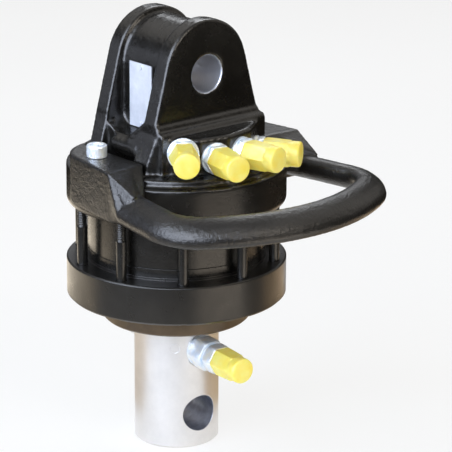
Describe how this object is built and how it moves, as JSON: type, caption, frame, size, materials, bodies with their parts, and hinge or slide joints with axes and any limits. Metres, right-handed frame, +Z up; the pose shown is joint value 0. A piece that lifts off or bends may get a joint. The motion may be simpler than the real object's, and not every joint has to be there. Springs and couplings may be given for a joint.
{
  "type": "hydraulic grapple rotator",
  "caption": "Vane-motor rotator for a crane grapple: eared hanger with a pin bore, black ringed body with a hose guard bow, and a turning steel shaft with a cross bore.",
  "frame": {"origin": "centre of the hanger's pin bore, on the rotation axis", "axes": "+Z up along the rotation axis, Y along the hanger pin with the ports and guard towards -Y, +X to the right seen from the ports"},
  "size_m": [0.2238, 0.2662, 0.3564],
  "materials": {
    "black_paint": "gloss black",
    "guard_paint": "textured black",
    "bolt_black": "gloss black",
    "bare_plate": "satin",
    "zinc": "bright zinc",
    "yellow_cap": "soft plastic",
    "shaft_steel": "ground",
    "ground_steel": "ground",
    "bronze": "turned",
    "seal_rubber": "matte"
  },
  "bodies": {
    "housing": {"head_casting": "black_paint", "blank_plate": "bare_plate", "plate_rivets": "bare_plate", "hose_guard": "guard_paint", "guard_screws": "zinc", "stator_ring": "black_paint", "stator_o_rings": "seal_rubber", "lower_plate": "black_paint", "base_ring": "black_paint", "tie_bolts": "bolt_black", "dowel_pins": "ground_steel", "lower_race": "ground_steel", "thrust_washer": "bronze", "upper_bush": "bronze", "lower_bush": "bronze", "swivel_seals": "seal_rubber", "shaft_seal": "seal_rubber", "wiper_ring": "seal_rubber", "port_washer_1": "zinc", "port_adapter_1": "zinc", "port_cap_1": "yellow_cap", "port_washer_2": "zinc", "port_adapter_2": "zinc", "port_cap_2": "yellow_cap", "port_washer_3": "zinc", "port_adapter_3": "zinc", "port_cap_3": "yellow_cap", "port_washer_4": "zinc", "port_adapter_4": "zinc", "port_cap_4": "yellow_cap"},
    "rotor": {"shaft": "shaft_steel", "rotor": "ground_steel", "vanes": "ground_steel", "vane_springs": "ground_steel", "passage_plugs": "zinc", "shaft_side_plugs": "shaft_steel", "upper_race": "ground_steel", "shaft_washer_1": "zinc", "shaft_adapter_1": "zinc", "shaft_cap_1": "yellow_cap", "shaft_washer_2": "zinc", "shaft_adapter_2": "zinc", "shaft_cap_2": "yellow_cap"},
    "bearing_cage": {"bearing_cage": "bronze", "bearing_rollers": "ground_steel"}
  },
  "joints": [
    {"name": "rotor_spin", "type": "hinge", "parent": "housing", "child": "rotor", "pos_m": [0, 0, 0], "axis": [0, 0, 1], "continuous": true},
    {"name": "cage_spin", "type": "hinge", "parent": "housing", "child": "bearing_cage", "pos_m": [0, 0, 0], "axis": [0, 0, 1], "continuous": true}
  ],
  "couplings": [
    {"joint": "cage_spin", "follows": "rotor_spin", "ratio": 0.5}
  ]
}
